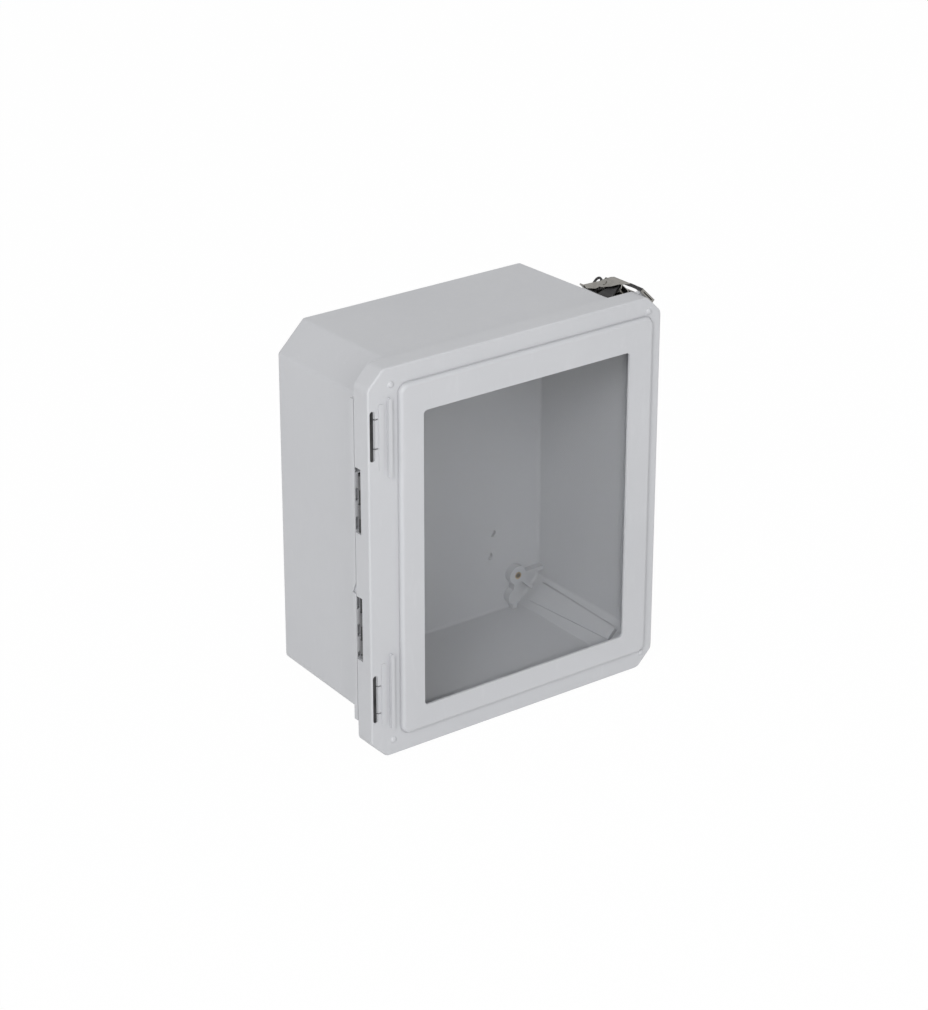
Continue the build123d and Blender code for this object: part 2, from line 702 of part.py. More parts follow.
# Hinges
for side, up in (("upper", 1), ("lower", -1)):
    middle_z = up * hinge_middle
    box_knuckles = [up * (hinge_start + knuckle_pitch * (k + 0.5)) for k in range(0, knuckle_count, 2)]
    cover_knuckles = [up * (hinge_start + knuckle_pitch * (k + 0.5)) for k in range(1, knuckle_count, 2)]
    knuckle_length = knuckle_pitch - knuckle_gap

    with BuildPart() as box_leaf:
        with BuildSketch(Plane.XY.offset(middle_z)):
            with Locations((box_leaf_x + leaf_thickness / 2, -(box_leaf_front + box_leaf_back) / 2)):
                Rectangle(leaf_thickness, box_leaf_front - box_leaf_back)
        extrude(amount=hinge_length / 2, both=True)
        for z in box_knuckles:
            with BuildSketch(Plane.XY.offset(z)):
                with Locations((hinge_x, -hinge_depth)):
                    Circle(box_knuckle_radius)
                with Locations(((hinge_x + box_seat_x) / 2, -box_leaf_back - leaf_thickness / 2)):
                    Rectangle(box_seat_x - hinge_x, leaf_thickness)
            extrude(amount=knuckle_length / 2, both=True)
        with BuildSketch(Plane.XY.offset(middle_z)):
            with Locations((hinge_x, -hinge_depth)):
                Circle(hinge_pin_radius + fit_clearance)
        extrude(amount=hinge_length, both=True, mode=Mode.SUBTRACT)
        with BuildSketch(Plane.YZ.offset(box_leaf_x)):
            with Locations(*[(-hinge_rivet_depth, up * z) for z in hinge_rivet_z]):
                Circle(rivet_radius + fit_clearance)
        extrude(amount=leaf_thickness, mode=Mode.SUBTRACT)
    box_leaf.part.label = side + "_hinge_box_leaf"
    export_step(box_leaf.part, "parts/" + side + "_hinge_box_leaf.step")

    with BuildPart() as cover_leaf:
        with BuildSketch(Plane.XY.offset(middle_z)):
            with Locations((cover_leaf_outer_x + leaf_thickness / 2,
                            -(cover_leaf_front + cover_leaf_back) / 2)):
                Rectangle(leaf_thickness, cover_leaf_front - cover_leaf_back)
        extrude(amount=hinge_length / 2, both=True)
        for z in cover_knuckles:
            with BuildSketch(Plane.XY.offset(z)):
                with Locations((hinge_x, -hinge_depth)):
                    Circle(knuckle_radius)
                with Locations((cover_leaf_outer_x + leaf_thickness / 2,
                                -(cover_leaf_back + hinge_depth) / 2)):
                    Rectangle(leaf_thickness, cover_leaf_back - hinge_depth)
            extrude(amount=knuckle_length / 2, both=True)
        with BuildSketch(Plane.XY.offset(middle_z)):
            with Locations((hinge_x, -hinge_depth)):
                Circle(hinge_pin_radius + fit_clearance)
        extrude(amount=hinge_length, both=True, mode=Mode.SUBTRACT)
        with BuildSketch(Plane.YZ.offset(cover_leaf_outer_x)):
            with Locations(*[(-stud_depth, up * z) for z in hinge_rivet_z]):
                Circle(stud_radius + fit_clearance)
        extrude(amount=leaf_thickness, mode=Mode.SUBTRACT)
    cover_leaf.part.label = side + "_hinge_cover_leaf"
    export_step(cover_leaf.part, "parts/" + side + "_hinge_cover_leaf.step")

    with BuildPart() as hinge_pin:
        with BuildSketch(Plane.XY.offset(middle_z)):
            with Locations((hinge_x, -hinge_depth)):
                Circle(hinge_pin_radius)
        extrude(amount=hinge_length / 2, both=True)
        with BuildSketch(Plane.XY.offset(up * (hinge_start + hinge_length))):
            with Locations((hinge_x, -hinge_depth)):
                Circle(hinge_pin_head_radius)
        extrude(amount=up * hinge_pin_head)
    hinge_pin.part.label = side + "_hinge_pin"
    export_step(hinge_pin.part, "parts/" + side + "_hinge_pin.step")

    with BuildPart() as hinge_rivets:
        for plane_x, radius, length in (
            (box_leaf_x - rivet_head, rivet_head_radius, rivet_head),
            (box_leaf_x, rivet_radius, hinge_spot_x - box_leaf_x),
            (hinge_spot_x, rivet_tail_radius, rivet_tail),
        ):
            with BuildSketch(Plane.YZ.offset(plane_x)):
                with Locations(*[(-hinge_rivet_depth, up * z) for z in hinge_rivet_z]):
                    Circle(radius)
            extrude(amount=length)
    hinge_rivets.part.label = side + "_hinge_rivets"
    export_step(hinge_rivets.part, "parts/" + side + "_hinge_rivets.step")

    with BuildPart() as hinge_retainers:
        with BuildSketch(Plane.YZ.offset(cover_leaf_inner_x)):
            with Locations(*[(-stud_depth, up * z) for z in hinge_rivet_z]):
                Circle(retainer_radius)
                Circle(stud_radius + fit_clearance, mode=Mode.SUBTRACT)
        extrude(amount=retainer_thickness)
    hinge_retainers.part.label = side + "_hinge_retainers"
    export_step(hinge_retainers.part, "parts/" + side + "_hinge_retainers.step")

# Latches
for side, up in (("upper", 1), ("lower", -1)):
    middle = corner_plane(up)

    with BuildPart() as latch_base:
        with BuildSketch(middle):
            with Locations((-seat_length / 2, base_thickness / 2)):
                Rectangle(seat_length, base_thickness)
        extrude(amount=base_half_width, both=True)
        # Ears that carry the lever's pin
        with BuildSketch(middle):
            with BuildLine():
                Polyline(
                    (ear_foot[0], 0),
                    (ear_foot[1], 0),
                    (lever_pin[0] + ear_eye_radius, lever_pin[1]),
                    (lever_pin[0] - ear_eye_radius, lever_pin[1]),
                    close=True,
                )
            make_face()
            with Locations(lever_pin):
                Circle(ear_eye_radius)
                Circle(lever_pin_radius + fit_clearance, mode=Mode.SUBTRACT)
        extrude(amount=base_half_width, both=True)
        with BuildSketch(middle):
            with Locations((lever_pin[0], base_thickness + lever_pin[1])):
                Rectangle(seat_length, 2 * lever_pin[1])
        extrude(amount=ear_inner, both=True, mode=Mode.SUBTRACT)
        # Padlock ear
        with BuildSketch(middle.offset(up * padlock_ear_offset)):
            with Locations((padlock_ear_place, padlock_ear_height)):
                Circle(padlock_ear_radius)
            with Locations((padlock_ear_place, padlock_ear_height / 2)):
                Rectangle(2 * padlock_ear_radius, padlock_ear_height)
            with Locations((padlock_ear_place, padlock_ear_height)):
                Circle(padlock_hole_radius, mode=Mode.SUBTRACT)
        extrude(amount=sheet / 2, both=True)
        for place in latch_rivet_places:
            with BuildSketch(corner_face_plane(up, place, 0)):
                Circle(rivet_radius + fit_clearance)
            extrude(amount=base_thickness, mode=Mode.SUBTRACT)
    latch_base.part.label = side + "_latch_base"
    export_step(latch_base.part, "parts/" + side + "_latch_base.step")

    with BuildPart() as latch_rivets:
        for place in latch_rivet_places:
            with BuildSketch(corner_face_plane(up, place, latch_rivet_end)):
                Circle(rivet_radius)
            extrude(amount=base_thickness - latch_rivet_end)
            with BuildSketch(corner_face_plane(up, place, base_thickness)):
                Circle(rivet_head_radius)
            extrude(amount=rivet_head)
    latch_rivets.part.label = side + "_latch_rivets"
    export_step(latch_rivets.part, "parts/" + side + "_latch_rivets.step")

    with BuildPart() as lever_pin_part:
        with BuildSketch(middle):
            with Locations(lever_pin):
                Circle(lever_pin_radius)
        extrude(amount=base_half_width, both=True)
    lever_pin_part.part.label = side + "_lever_pin"
    export_step(lever_pin_part.part, "parts/" + side + "_lever_pin.step")

    with BuildPart() as latch_lever:
        with BuildSketch(middle):
            with BuildLine():
                Polyline(*lever_front_points, close=True)
            make_face()
            with Locations(lever_pin):
                Circle(lever_eye_radius)
        extrude(amount=lever_half_width, both=True)
        for points in (lever_tail_points, lever_plate_points):
            with BuildSketch(middle):
                with BuildLine():
                    Polyline(*points, close=True)
                make_face()
            extrude(amount=base_half_width, both=True)
        # Hollow underside
        with BuildSketch(middle):
            with BuildLine():
                Polyline(*lever_hollow_points, close=True)
            make_face()
        extrude(amount=lever_half_width - sheet, both=True, mode=Mode.SUBTRACT)
        with BuildSketch(middle):
            with BuildLine():
                Polyline(*tail_hollow_points, close=True)
            make_face()
        extrude(amount=base_half_width - sheet, both=True, mode=Mode.SUBTRACT)
        # Slot that the padlock ear stands through
        with BuildSketch(middle.offset(up * padlock_ear_offset)):
            with Locations((sum(lever_slot) / 2, 0)):
                Rectangle(lever_slot[1] - lever_slot[0], 2 * lever_bend[1])
        extrude(amount=lever_slot_width / 2, both=True, mode=Mode.SUBTRACT)
        for centre, radius in ((lever_pin, lever_pin_radius), (hook_pin, hook_pin_radius)):
            with BuildSketch(middle):
                with Locations(centre):
                    Circle(radius + fit_clearance)
            extrude(amount=base_half_width, both=True, mode=Mode.SUBTRACT)
    latch_lever.part.label = side + "_latch_lever"
    export_step(latch_lever.part, "parts/" + side + "_latch_lever.step")

    with BuildPart() as hook_pin_part:
        with BuildSketch(middle):
            with Locations(hook_pin):
                Circle(hook_pin_radius)
        extrude(amount=arm_outer, both=True)
        for end in (1, -1):
            with BuildSketch(middle.offset(end * arm_outer)):
                with Locations(hook_pin):
                    Circle(hook_pin_head_radius)
            extrude(amount=end * hook_pin_head)
    hook_pin_part.part.label = side + "_hook_pin"
    export_step(hook_pin_part.part, "parts/" + side + "_hook_pin.step")

    with BuildPart() as latch_hook:
        # Both arms, drawn as one block
        with BuildSketch(middle):
            with BuildLine():
                Polyline(*hook_arm_points, close=True)
            make_face()
            with Locations(hook_pin):
                Circle(hook_eye_radius)
                Circle(hook_pin_radius + fit_clearance, mode=Mode.SUBTRACT)
        extrude(amount=arm_outer, both=True)
        with BuildSketch(middle):
            with BuildLine():
                Polyline(*hook_inside_points, close=True)
            make_face()
        extrude(amount=arm_inner, both=True, mode=Mode.SUBTRACT)
        # Long slot in the lip
        with BuildSketch(middle):
            with Locations((hook_lip_front, hook_front_top - hook_lip_drop / 2)):
                Rectangle(4 * sheet, lip_slot_height)
        extrude(amount=lip_slot_length / 2, both=True, mode=Mode.SUBTRACT)
    latch_hook.part.label = side + "_latch_hook"
    export_step(latch_hook.part, "parts/" + side + "_latch_hook.step")
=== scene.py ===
import json
from math import cos, pi, sin

import bmesh
import bpy
from mathutils import Matrix, Vector


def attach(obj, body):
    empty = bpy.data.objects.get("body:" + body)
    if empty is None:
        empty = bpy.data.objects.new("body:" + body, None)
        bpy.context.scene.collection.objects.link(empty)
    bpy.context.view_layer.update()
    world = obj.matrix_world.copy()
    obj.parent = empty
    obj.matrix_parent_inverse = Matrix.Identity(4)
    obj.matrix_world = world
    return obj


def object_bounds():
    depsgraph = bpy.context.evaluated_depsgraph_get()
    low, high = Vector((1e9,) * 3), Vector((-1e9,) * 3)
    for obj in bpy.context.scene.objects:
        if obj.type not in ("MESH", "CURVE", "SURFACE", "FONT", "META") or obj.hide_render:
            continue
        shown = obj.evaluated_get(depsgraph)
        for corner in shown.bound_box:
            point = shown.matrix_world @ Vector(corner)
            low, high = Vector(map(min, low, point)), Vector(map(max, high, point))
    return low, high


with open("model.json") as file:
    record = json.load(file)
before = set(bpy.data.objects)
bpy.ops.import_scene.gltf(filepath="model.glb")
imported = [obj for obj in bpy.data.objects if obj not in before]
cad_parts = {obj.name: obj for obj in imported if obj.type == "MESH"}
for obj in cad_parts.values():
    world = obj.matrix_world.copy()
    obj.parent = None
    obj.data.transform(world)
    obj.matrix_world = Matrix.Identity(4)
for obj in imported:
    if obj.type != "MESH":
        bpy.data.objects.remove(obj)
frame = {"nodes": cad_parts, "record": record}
cad_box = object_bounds()

nodes = frame["nodes"]
scene = bpy.context.scene
SIDES = {"upper": 1, "lower": -1}

# Colours, as linear red, green and blue
FIBERGLASS_GREY = (0.540, 0.547, 0.567)
FIBERGLASS_PALE = (0.590, 0.597, 0.617)
STEEL_GREY = (0.30, 0.29, 0.27)
STEEL_SHADE = (0.15, 0.145, 0.135)
# near-black steel, painted deep shade for the box-side hinge and latch pieces
STEEL_DEEP_SHADE_PAINT = (0.060, 0.059, 0.060)
STEEL_DEEP_SHADE_STREAK = (0.025, 0.025, 0.026)
# grey steel, painted half shade for the cover-side hinge pieces
STEEL_HALF_SHADE_PAINT = (0.155, 0.155, 0.160)
STEEL_HALF_SHADE_STREAK = (0.095, 0.095, 0.10)
BRASS_YELLOW = (0.62, 0.44, 0.19)
BRASS_BROWN = (0.30, 0.19, 0.08)
GASKET_BLACK = (0.020, 0.020, 0.021)
SEAL_GREY = (0.30, 0.30, 0.31)
# the colour of the painted shade in crevices
CREVICE_SHADE_PAINT = (0.03, 0.03, 0.033)
BLOOM_GREY = (0.35, 0.35, 0.35)
PANE_TINT = (0.75, 0.755, 0.76)
PANE_SHADOW = (0.62, 0.625, 0.63)
FLOOR_WHITE = (0.88, 0.88, 0.88)
WHITE = (1.0, 1.0, 1.0)

# Noise in the surfaces: scales in waves per metre, and how far a pattern is drawn out
FLOW_SCALE = 9.0
FIBRE_SCALE = 160.0
FIBRE_STRETCH = (1.0, 1.0, 0.22)
PEBBLE_SCALE = 1400.0
STREAK_SCALE = 900.0
STREAK_STRETCH = (1.0, 0.06, 1.0)
SMUDGE_SCALE = 120.0
CELL_SCALE = 1800.0
DUST_SCALE = 60.0

# The band of each noise that is used, and what it is spread over
FLOW_BAND = (0.35, 0.65)
SPECK_BAND = (0.60, 0.72)
SPECK_SHARE = (0.0, 0.25)
FIBRE_BAND = (0.3, 0.7)
FIBRE_ROUGHNESS = (-0.05, 0.05)
FIBRE_HEIGHT = (0.0, 0.4)
STREAK_BAND = (0.4, 0.75)
SMUDGE_BAND = (0.5, 0.75)
SMUDGE_SHARE = (0.0, 0.35)
DULLING_BAND = (0.35, 0.7)
DULLING_ROUGHNESS = (-0.05, 0.15)
DUST_BAND = (0.4, 0.7)
CELL_BAND = (0.3, 0.7)
FOAM_ROUGHNESS = (0.7, 0.95)
CREVICE_BAND = (0.10, 0.62)
CREVICE_SAMPLES = 8
FALLING = (1.0, 0.0)


# Nodes and node groups that the materials share

def new_group(name, inputs, outputs):
    """A shader node group with named sockets, and its input and output nodes."""
    group = bpy.data.node_groups.new(name, "ShaderNodeTree")
    for label, kind, value in inputs:
        socket = group.interface.new_socket(
            name=label, in_out="INPUT", socket_type="NodeSocket" + kind)
        socket.default_value = value
    for label, kind in outputs:
        group.interface.new_socket(name=label, in_out="OUTPUT", socket_type="NodeSocket" + kind)
    return group, group.nodes.new("NodeGroupInput"), group.nodes.new("NodeGroupOutput")


def add_node(tree, kind, settings=(), **values):
    """A node with its settings, and with its sockets set or linked by name or by number."""
    node = tree.nodes.new("ShaderNode" + kind)
    for name, value in dict(settings).items():
        setattr(node, name, value)
    for name, value in values.items():
        key = int(name[1:]) if name[0] == "_" else name.replace("_", " ")
        if isinstance(value, bpy.types.NodeSocket):
            tree.links.new(value, node.inputs[key])
        else:
            node.inputs[key].default_value = value
    return node


def object_noise(tree, scale, detail, roughness=0.5, stretch=(1, 1, 1)):
    """Noise in the row frame, in metres, so that it stays on the piece."""
    place = add_node(tree, "TexCoord").outputs["Object"]
    stretched = add_node(tree, "Mapping", Vector=place, Scale=stretch).outputs["Vector"]
    return add_node(tree, "TexNoise", Vector=stretched, Scale=scale, Detail=detail,
                    Roughness=roughness).outputs["Fac"]


def remap(tree, value, band, spread=(0.0, 1.0)):
    """A value spread from one range over another."""
    return add_node(tree, "MapRange", _0=value, _1=band[0], _2=band[1], _3=spread[0],
                    _4=spread[1]).outputs["Result"]


def calculate(tree, operation, first, second, clamp=False):
    """The result of one operation on two values."""
    return add_node(tree, "Math", {"operation": operation, "use_clamp": clamp},
                    _0=first, _1=second).outputs[0]


def mix_colour(tree, share, first, second):
    """Two colours mixed by a share."""
    return add_node(tree, "Mix", {"data_type": "RGBA"}, _0=share, _6=first, _7=second).outputs[2]


def give_results(group, result, **values):
    """Links values to a group's outputs by name."""
    for name, value in values.items():
        group.links.new(value, result.inputs[name])


def rgba(colour):
    """A colour with full cover."""
    return (*colour, 1.0)


def moulded_grain_group():
    """Moulded plastic: faint cloudy flow marks, fine specks of glass fibre and a pebbled skin."""
    group, source, result = new_group(
        "Moulded grain",
        [("Colour", "Color", rgba(WHITE)), ("Pale Colour", "Color", rgba(WHITE)),
         ("Cloud Amount", "Float", 0.5), ("Base Roughness", "Float", 0.5)],
        [("Colour", "Color"), ("Roughness", "Float"), ("Height", "Float")])
    flow = object_noise(group, FLOW_SCALE, detail=3.0)
    fibre = object_noise(group, FIBRE_SCALE, detail=2.0, roughness=0.6, stretch=FIBRE_STRETCH)
    pebble = object_noise(group, PEBBLE_SCALE, detail=1.0)
    clouded = calculate(group, "MULTIPLY", remap(group, flow, FLOW_BAND),
                        source.outputs["Cloud Amount"])
    speck = remap(group, fibre, SPECK_BAND, SPECK_SHARE)
    share = calculate(group, "ADD", clouded, speck, clamp=True)
    give_results(
        group, result,
        Colour=mix_colour(group, share, source.outputs["Colour"], source.outputs["Pale Colour"]),
        Roughness=calculate(group, "ADD", source.outputs["Base Roughness"],
                            remap(group, fibre, FIBRE_BAND, FIBRE_ROUGHNESS)),
        Height=calculate(group, "ADD", pebble, remap(group, fibre, FIBRE_BAND, FIBRE_HEIGHT)))
    return group


def painted_crevice_shade_group():
    """Painted shade in narrow gaps and inner corners, darker the less open a point is."""
    group, source, result = new_group(
        "Painted crevice shade",
        [("Colour", "Color", rgba(WHITE)), ("Reach", "Float", 0.004), ("Depth", "Float", 0.5)],
        [("Colour", "Color")])
    open_share = add_node(group, "AmbientOcclusion",
                          {"samples": CREVICE_SAMPLES, "only_local": False},
                          Distance=source.outputs["Reach"]).outputs["AO"]
    # the less open a point, the more painted shade it gets
    closed = remap(group, open_share, CREVICE_BAND, FALLING)
    share = calculate(group, "MULTIPLY", closed, source.outputs["Depth"])
    give_results(group, result,
                 Colour=mix_colour(group, share, source.outputs["Colour"], rgba(CREVICE_SHADE_PAINT)))
    return group


def rolled_metal_group():
    """Rolled or drawn metal: fine streaks one way, with smudges that dull it."""
    group, source, result = new_group(
        "Rolled metal",
        [("Colour", "Color", rgba(WHITE)), ("Shade Colour", "Color", rgba(WHITE)),
         ("Streak Amount", "Float", 0.3), ("Base Roughness", "Float", 0.25)],
        [("Colour", "Color"), ("Roughness", "Float"), ("Height", "Float")])
    streak = object_noise(group, STREAK_SCALE, detail=2.0, roughness=0.6, stretch=STREAK_STRETCH)
    smudge = object_noise(group, SMUDGE_SCALE, detail=3.0)
    streaked = calculate(group, "MULTIPLY", remap(group, streak, STREAK_BAND),
                         source.outputs["Streak Amount"])
    share = calculate(group, "ADD", streaked, remap(group, smudge, SMUDGE_BAND, SMUDGE_SHARE),
                      clamp=True)
    give_results(
        group, result,
        Colour=mix_colour(group, share, source.outputs["Colour"], source.outputs["Shade Colour"]),
        Roughness=calculate(group, "ADD", source.outputs["Base Roughness"],
                            remap(group, smudge, DULLING_BAND, DULLING_ROUGHNESS)),
        Height=streak)
    return group


def foam_skin_group():
    """Rubber or foam: open specks and a dusty bloom."""
    group, source, result = new_group(
        "Foam skin",
        [("Colour", "Color", rgba(WHITE)), ("Bloom", "Float", 0.1)],
        [("Colour", "Color"), ("Roughness", "Float"), ("Height", "Float")])
    cell = object_noise(group, CELL_SCALE, detail=2.0)
    dust = object_noise(group, DUST_SCALE, detail=3.0)
    share = calculate(group, "MULTIPLY", remap(group, dust, DUST_BAND), source.outputs["Bloom"])
    give_results(group, result,
                 Colour=mix_colour(group, share, source.outputs["Colour"], rgba(BLOOM_GREY)),
                 Roughness=remap(group, cell, CELL_BAND, FOAM_ROUGHNESS), Height=cell)
    return group


MOULDED_GRAIN = moulded_grain_group()
ROLLED_METAL = rolled_metal_group()
FOAM_SKIN = foam_skin_group()
PAINTED_CREVICE_SHADE = painted_crevice_shade_group()


# Materials

def new_material(name):
    """An empty node material, its tree and its output node."""
    material = bpy.data.materials.new(name)
    material.use_nodes = True
    material.node_tree.nodes.clear()
    return material, material.node_tree, material.node_tree.nodes.new("ShaderNodeOutputMaterial")


def place_group(tree, group, values):
    """A node that uses a group, with values on its named sockets."""
    node = tree.nodes.new("ShaderNodeGroup")
    node.node_tree = group
    for name, value in values.items():
        node.inputs[name].default_value = value
    return node


def surfaced_material(name, group, values, bump, crevice, **settings):
    """A Principled surface whose colour, roughness and bump come from node groups, with painted
    shade in its crevices.
    """
    material, tree, output = new_material(name)
    surface = place_group(tree, group, values)
    shaded = place_group(tree, PAINTED_CREVICE_SHADE, crevice)
    tree.links.new(surface.outputs["Colour"], shaded.inputs["Colour"])
    relief = add_node(tree, "Bump", Height=surface.outputs["Height"], **bump)
    shader = add_node(tree, "BsdfPrincipled", **settings)
    tree.links.new(shaded.outputs["Colour"], shader.inputs["Base Color"])
    tree.links.new(surface.outputs["Roughness"], shader.inputs["Roughness"])
    tree.links.new(relief.outputs["Normal"], shader.inputs["Normal"])
    tree.links.new(shader.outputs["BSDF"], output.inputs["Surface"])
    return material


def metal_material(name, colour, shade, roughness, crevice, streaks=0.35):
    """A sheet or turned metal with its colour, streak colour and polish; the darker copies of the
    steel carry painted shade.
    """
    return surfaced_material(
        name, ROLLED_METAL,
        {"Colour": rgba(colour), "Shade Colour": rgba(shade),
         "Streak Amount": streaks, "Base Roughness": roughness},
        {"Strength": 0.25, "Distance": 0.00003}, crevice, Metallic=1.0)


def soft_material(name, colour, bloom, bump):
    """Foam or rubber."""
    return surfaced_material(
        name, FOAM_SKIN, {"Colour": rgba(colour), "Bloom": bloom},
        bump, {"Reach": 0.003, "Depth": 0.4}, Specular_IOR_Level=0.3)


def pane_material(name, tint, shadow):
    """Clear plastic that lets the lamps through."""
    material, tree, output = new_material(name)
    glass = add_node(tree, "BsdfPrincipled", Base_Color=rgba(tint), Roughness=0.0,
                     IOR=1.49, Transmission_Weight=1.0)
    clear = add_node(tree, "BsdfTransparent", Color=rgba(shadow))
    path = add_node(tree, "LightPath")
    mix = add_node(tree, "MixShader", _0=path.outputs["Is Shadow Ray"],
                   _1=glass.outputs["BSDF"], _2=clear.outputs["BSDF"])
    tree.links.new(mix.outputs["Shader"], output.inputs["Surface"])
    return material


# The last table of each material gives the reach and depth of its painted crevice shade
fiberglass = surfaced_material(
    "moulded_fiberglass", MOULDED_GRAIN,
    {"Colour": rgba(FIBERGLASS_GREY), "Pale Colour": rgba(FIBERGLASS_PALE),
     "Cloud Amount": 0.30, "Base Roughness": 0.50},
    {"Strength": 0.10, "Distance": 0.00004}, {"Reach": 0.004, "Depth": 0.24},
    Specular_IOR_Level=0.42)
stainless = metal_material("stainless_sheet", STEEL_GREY, STEEL_SHADE, 0.24,
                           {"Reach": 0.006, "Depth": 0.5})
# near-black copy of the steel: painted deep shade on the box-side hinge pieces, the latch bases
# and hooks
steel_painted_deep_shade = metal_material("steel_painted_deep_shade", STEEL_DEEP_SHADE_PAINT, STEEL_DEEP_SHADE_STREAK, 0.40,
                            {"Reach": 0.006, "Depth": 0.6})
# darker grey copy of the steel: painted half shade on the cover-side hinge leaves and retainers
steel_painted_half_shade = metal_material("steel_painted_half_shade", STEEL_HALF_SHADE_PAINT, STEEL_HALF_SHADE_STREAK, 0.36,
                              {"Reach": 0.006, "Depth": 0.4})
brass = metal_material("turned_brass", BRASS_YELLOW, BRASS_BROWN, 0.30,
                       {"Reach": 0.003, "Depth": 0.4}, streaks=0.25)
gasket_foam = soft_material("gasket_foam", GASKET_BLACK, 0.08,
                            {"Strength": 0.4, "Distance": 0.0001})
seal_rubber = soft_material("seal_rubber", SEAL_GREY, 0.05,
                            {"Strength": 0.3, "Distance": 0.00005})
clear_pane = pane_material("clear_pane", PANE_TINT, PANE_SHADOW)

SLOT_MATERIALS = {
    "fiberglass": fiberglass, "steel": stainless, "brass": brass,
    "gasket": gasket_foam, "seal": seal_rubber, "pane": clear_pane,
}
# Steel pieces in darker copies of the steel, painted shade for pieces deep in the hinges and
# latches, by the node's name without its side
STEEL_PAINTED_SHADES = {
    "hinge_box_leaf": steel_painted_deep_shade, "hinge_pin": steel_painted_deep_shade, "hinge_rivets": steel_painted_deep_shade,
    "latch_base": steel_painted_deep_shade, "latch_hook": steel_painted_deep_shade,
    "hinge_cover_leaf": steel_painted_half_shade, "hinge_retainers": steel_painted_half_shade,
}
for entry in frame["record"]["subparts"]:
    piece = nodes[entry["node"]]
    kind = entry["node"].partition("_")[2]
    material = STEEL_PAINTED_SHADES.get(kind, SLOT_MATERIALS[entry["material_slot"]])
    if not piece.material_slots:
        piece.data.materials.append(material)
    for place in piece.material_slots:
        place.material = material


# Pieces that the CAD leaves plain

# The cover's four round bumps, in metres, and their foot's profile in shares of radius and rise
COVER_FRONT = -0.1425
BUMP_RADIUS = 0.0026
BUMP_RISE = 0.0015
BUMP_PLACES = ((-0.1233, 0.1503), (0.1286, 0.1522), (0.1303, -0.1525), (-0.1237, -0.1529))
BUMP_FOOT = ((1.16, -0.10), (1.10, 0.02), (1.03, 0.08), (0.97, 0.20))
BUMP_STEPS = 9
BUMP_FIRST_STEP = 2
BUMP_POINTS = 40

# The black fills that stand in for the shade deep in the cover's two slots, in metres, and each
# ring's share of the width and depth
SLOT_X = -0.1411
SLOT_Z = 0.11175
SLOT_HALF_RUN = 0.0189
SLOT_HALF_WIDTH = 0.0017
SLOT_FRONT = -0.1422
SLOT_BACK = -0.1413
SHADE_FILL_RINGS = ((1.0, SLOT_BACK), (1.0, SLOT_FRONT + 0.0003), (0.90, SLOT_FRONT + 0.0001),
               (0.6, SLOT_FRONT))
SHADE_FILL_END_STEPS = 14

# The latches' sheets, in millimetres forward of the seat's front edge and outward from the seat
HOOK_SIDE = ((-30.6, 13.3), (-24.4, 17.9), (-21.1, 19.2), (-1.2, 19.55), (-0.4, 18.9),
             (-6.8, 16.3), (-10.8, 15.1), (-17.8, 10.6), (-26.5, 7.1), (-30.6, 6.4))
LEVER_SIDE = ((-45.6, 3.0), (-40.6, 6.9), (-31.0, 13.0), (-31.0, 6.2), (-33.2, 4.2),
              (-42.6, 1.4))
HOOK_SIDE_ACROSS = (8.52, 8.80)
LEVER_SIDE_ACROSS = (7.02, 7.26)
LIP_HALF_WIDTH = 8.5
LIP_SLOT_HALF = 6.0
LIP_BACK = 14.45
LIP_FRONT = 14.9
LIP_TOP = 19.85
LIP_SLOT_TOP = 18.4
LIP_SLOT_BOTTOM = 17.5
LIP_BOTTOM = 16.3

# Where the upper latch stands in the row frame, in millimetres: the lower one mirrors it
LATCH_FRONT = 118.0
LATCH_PIN_X = 131.609
LATCH_PIN_Z = 157.159
LATCH_PIN_HEIGHT = 12.8
SQRT_HALF = 0.5 ** 0.5
MM_PER_METRE = 1000

# The rounding of a sheared edge
SHEET_EDGE = 0.00012
SHEET_EDGE_SEGMENTS = 2
SHEET_EDGE_PROFILE = 0.6


def new_piece(name, mesh, body, material):
    """A shown piece that rides a body of the frame."""
    data = bpy.data.meshes.new(name)
    mesh.to_mesh(data)
    mesh.free()
    piece = bpy.data.objects.new(name, data)
    scene.collection.objects.link(piece)
    data.materials.append(material)
    for face in data.polygons:
        face.use_smooth = True
    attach(piece, body)


def ring_surface(mesh, rings, tip):
    """Joins rings of points one after the other and closes the last one at a tip."""
    rows = [[mesh.verts.new(point) for point in ring] for ring in rings]
    for first, second in zip(rows, rows[1:]):
        for i in range(len(first)):
            j = (i + 1) % len(first)
            mesh.faces.new((first[i], first[j], second[j], second[i]))
    end = mesh.verts.new(tip)
    last = rows[-1]
    for i in range(len(last)):
        mesh.faces.new((last[i], last[(i + 1) % len(last)], end))


def bump_mesh():
    """Four low domes on the cover, each with a small fillet at its foot."""
    mesh = bmesh.new()
    slopes = [pi / 2 * i / BUMP_STEPS for i in range(BUMP_FIRST_STEP, BUMP_STEPS)]
    profile = [*BUMP_FOOT, *((cos(slope), sin(slope)) for slope in slopes)]
    turns = [2 * pi * k / BUMP_POINTS for k in range(BUMP_POINTS)]
    for x, z in BUMP_PLACES:
        rings = [[(x + reach * BUMP_RADIUS * cos(turn), COVER_FRONT - rise * BUMP_RISE,
                   z + reach * BUMP_RADIUS * sin(turn)) for turn in turns]
                 for reach, rise in profile]
        ring_surface(mesh, rings, (x, COVER_FRONT - BUMP_RISE, z))
    return mesh


